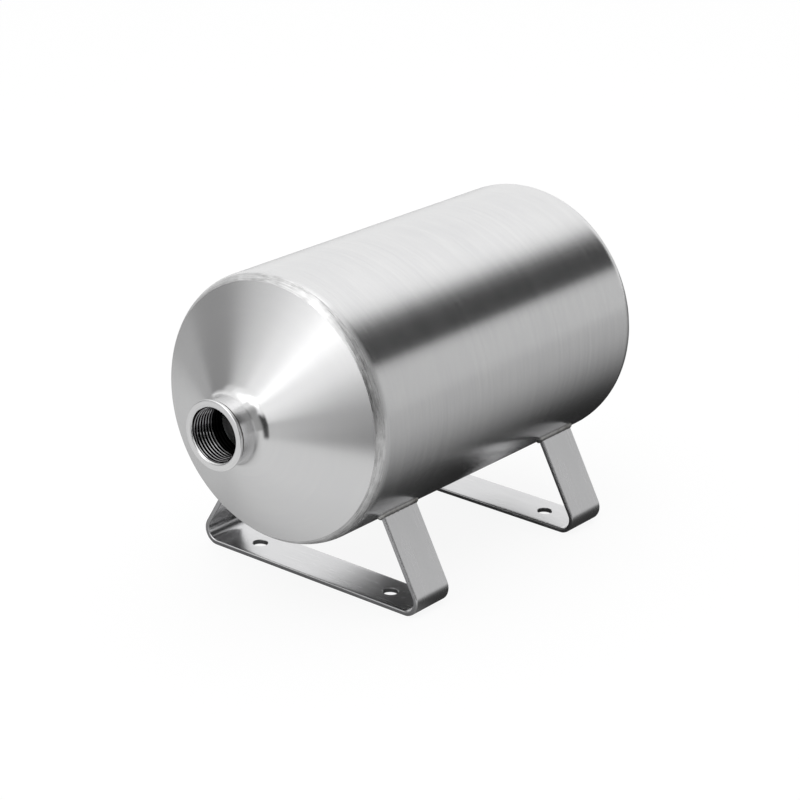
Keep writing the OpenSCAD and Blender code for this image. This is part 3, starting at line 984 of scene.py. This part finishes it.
def floorGrey(x, y, z):
    # the table that the metal sees, with the tank's shadow painted in: dark beneath the tank, grey at
    # its sides, and lighter in front up to a slanting edge, beyond which it is dark again
    # painted shadow: near black beneath the tank, lighter further out at each side
    right = np.interp(x, [0, 0.05, 0.095, 0.122, 0.157, 0.209, 0.301, 0.518, 1.5],
                      [0.02, 0.02, 0.05, 0.15, 0.26, 0.37, 0.46, 0.5, 0.55])
    left = np.interp(-x, [0, 0.04, 0.08, 0.12, 0.209, 0.301, 0.42, 0.55, 1.5],
                     [0.02, 0.02, 0.03, 0.4, 0.58, 0.6, 0.52, 0.40, 0.40])
    beside = np.where(x > 0, right, left)
    front = np.interp(-y, [0.12, 0.2, 0.3, 0.45, 0.7, 1.3, 2.0],
                      [0.60, 0.72, 0.72, 0.68, 0.68, 0.7, 0.72])
    slant = x - np.interp(-y, [0.2, 0.4, 0.62, 1.43], [0.02, 0.105, 0.2, 0.45])
    beforeHead = y - cards["frontMiddle"]
    angle = np.degrees(np.arctan2(beforeHead, x))
    away = smooth(np.hypot(x, beforeHead), 0.2, 0.3)
    dark = smooth(slant, 0, 0.045) * (1 - smooth(angle, -36, -20)) * away
    front = front + (0.06 - front) * dark
    return beside + (front - beside) * smooth(-y - 0.35 * np.clip(-x - 0.2, 0, 1), 0.06, 0.15)


def frontGrey(x, y, z):
    # the dark part of the room, in front and right of the tank's middle
    beforeHead = y - cards["frontMiddle"]
    angle = np.degrees(np.arctan2(beforeHead, x))
    rise = np.degrees(np.arctan2(z - axisAt, np.hypot(x, beforeHead)))
    level = np.interp(angle, [-88, -80, -74, -71.5, -69.5, -36, -26, -18],
                      [1.12, 1.1, 1.02, 0.85, 0.03, 0.04, 0.35, 0.32])
    top = np.interp(angle, [-70, -55, -45, -15], [11, 15, 27, 34])
    return level + (1 - level) * smooth(rise, top - 3, top + 10)


def topGrey(x, y, z):
    # the middle of the overhead light, which only the rounded corners and the necks look up to
    return 1 + 0.55 * np.exp(-(x ** 2 + ((y + 0.4) / 0.85) ** 2) ** 2)


def span(name):
    return np.linspace(*cards[name])


# bent round the +X side, upright on the -X side, flat under the tank with its points closest
# at the middle, bent round the front port, and flat overhead
sideTurn, frontTurn = np.radians(span("sideTurn"))[:, None], np.radians(span("frontTurn"))[:, None]
sideRadius, frontRadius = cards["sideRadius"], cards["frontRadius"]
gather = cards["floorGather"]
spread = np.sinh(np.linspace(-gather, gather, cards["floorPoints"])) / np.sinh(gather)
floorX, floorY = cards["floorHalf"]
buildCard("sideCard", sideRadius * np.cos(sideTurn), span("sideReach")[None],
          axisAt + sideRadius * np.sin(sideTurn), sideGrey)
buildCard("leftCard", cards["leftAt"], span("leftReach")[None], span("leftRise")[:, None], leftGrey)
buildCard("floorCard", floorX * spread[:, None], cards["floorMiddle"] + floorY * spread[None],
          cards["floorHeight"], floorGrey)
buildCard("frontCard", frontRadius * np.cos(frontTurn),
          cards["frontMiddle"] + frontRadius * np.sin(frontTurn), span("frontRise")[None], frontGrey)
buildCard("topCard", span("topWidth")[:, None], span("topReach")[None], cards["topHeight"], topGrey)
print("studio ready")


# camera at the photograph's angle

view = {
    "at": (0.8455, -1.0891, 0.6263), "lens": 111.64, "sensor": 36, "shift": (0.0301, 0.0077),
    "right": (0.776406, 0.629852, 0.021927), "up": (-0.247099, 0.272218, 0.929968),
    "back": (0.579773, -0.727451, 0.366988),
}
camera = addObject("camera", bpy.data.cameras.new("camera"))
camera.data.sensor_width = view["sensor"]
camera.data.lens = view["lens"]
camera.data.shift_x, camera.data.shift_y = view["shift"]
turnTo = np.eye(4)
for column, key in enumerate(("right", "up", "back", "at")):
    turnTo[:3, column] = view[key]
camera.matrix_world = Matrix(turnTo.tolist())
scene.camera = camera
scene.view_settings.view_transform = "Standard"
print("camera ready")
